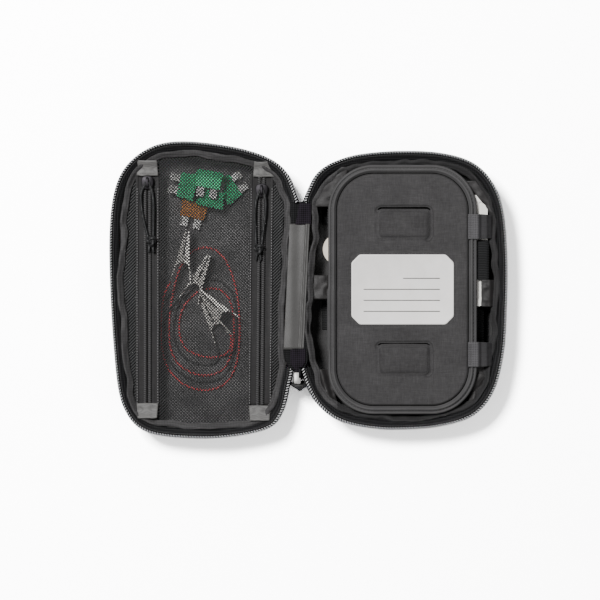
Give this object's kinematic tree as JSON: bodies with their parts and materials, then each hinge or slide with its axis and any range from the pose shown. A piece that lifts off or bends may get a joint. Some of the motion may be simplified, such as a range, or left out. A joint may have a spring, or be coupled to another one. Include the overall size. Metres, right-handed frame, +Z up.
{
  "type": "tone probe kit",
  "caption": "Open zippered soft case with a mesh pocket of clip leads and blade fuses in its lid, and a hinged page over a tone probe and tone generator in its base.",
  "frame": {"origin": "centre of the open case's outline, on the surface that it lies on", "axes": "+X from the lid half to the base half, +Y along the spine, +Z up out of the open case"},
  "size_m": [0.274, 0.207, 0.028],
  "materials": {
    "case_shell": "black ballistic weave",
    "lining": "grey nylon lining",
    "seam_binding": "ribbed binding tape",
    "piping": "woven piping",
    "zip_tape": "woven zip tape",
    "zip_coil": "nylon coil teeth",
    "spine_fabric": "light grey satin weave",
    "spine_patch": "coarse black webbing",
    "slider_metal": "gunmetal",
    "pull_metal": "polished",
    "pull_cord": "braided cord",
    "elastic": "ribbed elastic",
    "webbing": "black webbing",
    "page_fabric": "charcoal ripstop over foam",
    "page_board": "stiffener board",
    "page_binding": "ribbed binding tape",
    "page_label": "off-white printed card",
    "device_shell": "fine moulded texture",
    "device_dark": "soft black rubber",
    "wheel_plastic": "beige moulding",
    "terminal_metal": "nickel over brass",
    "circuit_board": "solder mask",
    "battery": "printed sleeve",
    "led": "red lens",
    "screw_steel": "zinc",
    "mesh": "open polyester mesh",
    "tab_grey": "grey webbing",
    "fuse_green": "translucent plastic",
    "fuse_orange": "translucent plastic",
    "fuse_metal": "tin plated",
    "clip_metal": "nickel plated",
    "lead_red": "satin insulation",
    "lead_black": "satin insulation"
  },
  "bodies": {
    "base": {"base_back_panel": "case_shell", "base_gusset": "case_shell", "base_lining": "lining", "base_binding": "seam_binding", "base_zip_tape": "zip_tape", "base_zip_coil": "zip_coil", "base_piping": "piping", "spine_panel": "spine_fabric", "spine_end_patches": "spine_patch", "main_zip_slider": "slider_metal", "elastic_loops_left": "elastic", "elastic_loops_right": "elastic", "page_hinge_anchors": "webbing", "probe_front_shell": "device_shell", "probe_rear_shell": "device_shell", "probe_tip": "device_dark", "toner_front_shell": "device_shell", "toner_rear_shell": "device_shell", "toner_terminals": "terminal_metal", "circuit_boards": "circuit_board", "batteries": "battery", "status_leds": "led", "shell_screws": "screw_steel"},
    "main_pull": {"main_pull_link": "pull_metal"},
    "main_pull_loop": {"main_pull_cord": "pull_cord"},
    "page": {"page_cover": "page_fabric", "page_board": "page_board", "page_binding": "page_binding", "page_label": "page_label", "page_hinge_tabs": "webbing"},
    "probe_button": {"probe_button": "device_dark"},
    "probe_wheel": {"probe_volume_wheel": "wheel_plastic"},
    "toner_switch": {"toner_switch": "device_dark"},
    "lid": {"lid_back_panel": "case_shell", "lid_gusset": "case_shell", "lid_lining": "lining", "lid_binding": "seam_binding", "lid_zip_tape": "zip_tape", "lid_zip_coil": "zip_coil", "lid_piping": "piping", "mesh_panel": "mesh", "mesh_side_panels": "mesh", "pocket_zip_tapes": "zip_tape", "pocket_zip_coils": "zip_coil", "zip_end_tabs": "tab_grey", "fuse_green_bodies": "fuse_green", "fuse_orange_body": "fuse_orange", "fuse_elements": "fuse_metal", "clip_fixed_jaws": "clip_metal", "clip_pins_and_springs": "clip_metal", "lead_red": "lead_red", "lead_black": "lead_black"},
    "left_slider": {"pocket_slider_left": "slider_metal"},
    "right_slider": {"pocket_slider_right": "slider_metal"},
    "left_pull": {"pull_cord_left": "pull_cord"},
    "right_pull": {"pull_cord_right": "pull_cord"},
    "clip_a": {"clip_a_jaw": "clip_metal"},
    "clip_b": {"clip_b_jaw": "clip_metal"},
    "clip_c": {"clip_c_jaw": "clip_metal"},
    "clip_d": {"clip_d_jaw": "clip_metal"}
  },
  "joints": [
    {"name": "lid_hinge", "type": "hinge", "parent": "base", "child": "lid", "pos_m": [-0.004, 0, 0.02825], "axis": [0, 1, 0], "range_deg": [0, 180]},
    {"name": "page_hinge", "type": "hinge", "parent": "base", "child": "page", "pos_m": [0.126, 0, 0.026], "axis": [0, -1, 0], "range_deg": [-140, 0]},
    {"name": "main_pull_hinge", "type": "hinge", "parent": "base", "child": "main_pull", "pos_m": [-0.004, -0.059, 0.02585], "axis": [1, 0, 0], "range_deg": [-120, 0]},
    {"name": "main_pull_loop_swing", "type": "hinge", "parent": "main_pull", "child": "main_pull_loop", "pos_m": [-0.004, -0.0676, 0.02585], "axis": [1, 0, 0], "range_deg": [-90, 0]},
    {"name": "left_zip_slide", "type": "slide", "parent": "lid", "child": "left_slider", "axis": [0, 1, 0], "range_m": [-0.103, 0]},
    {"name": "left_pull_hinge", "type": "hinge", "parent": "left_slider", "child": "left_pull", "pos_m": [-0.111, 0.075, 0.0243], "axis": [1, 0, 0], "range_deg": [-110, 0]},
    {"name": "right_zip_slide", "type": "slide", "parent": "lid", "child": "right_slider", "axis": [0, 1, 0], "range_m": [-0.096, 0]},
    {"name": "right_pull_hinge", "type": "hinge", "parent": "right_slider", "child": "right_pull", "pos_m": [-0.033, 0.0695, 0.0243], "axis": [1, 0, 0], "range_deg": [-110, 0]},
    {"name": "clip_a_jaw_hinge", "type": "hinge", "parent": "lid", "child": "clip_a", "pos_m": [-0.0607, -0.0145, 0.01665], "axis": [0, 0, -1], "range_deg": [0, 28], "stiffness_Nm_per_rad": 0.01, "springref_deg": -20.05},
    {"name": "clip_b_jaw_hinge", "type": "hinge", "parent": "lid", "child": "clip_b", "pos_m": [-0.0652, -0.022, 0.00645], "axis": [0, 0, -1], "range_deg": [0, 28], "stiffness_Nm_per_rad": 0.01, "springref_deg": -20.05},
    {"name": "clip_c_jaw_hinge", "type": "hinge", "parent": "lid", "child": "clip_c", "pos_m": [-0.076, 0.0066, 0.01155], "axis": [0, 0, -1], "range_deg": [0, 28], "stiffness_Nm_per_rad": 0.01, "springref_deg": -20.05},
    {"name": "clip_d_jaw_hinge", "type": "hinge", "parent": "lid", "child": "clip_d", "pos_m": [-0.0858, 0.0222, 0.01665], "axis": [0, 0, -1], "range_deg": [0, 28], "stiffness_Nm_per_rad": 0.01, "springref_deg": -20.05},
    {"name": "probe_button_press", "type": "slide", "parent": "base", "child": "probe_button", "axis": [0, 0, -1], "range_m": [0, 0.001], "stiffness_N_per_m": 300, "springref_m": -0.001},
    {"name": "probe_volume_turn", "type": "hinge", "parent": "base", "child": "probe_wheel", "pos_m": [0.0231, 0.0283, 0.0134], "axis": [0, 0, 1], "range_deg": [0, 270]},
    {"name": "toner_switch_slide", "type": "slide", "parent": "base", "child": "toner_switch", "axis": [0, 1, 0], "range_m": [0, 0.004]}
  ]
}
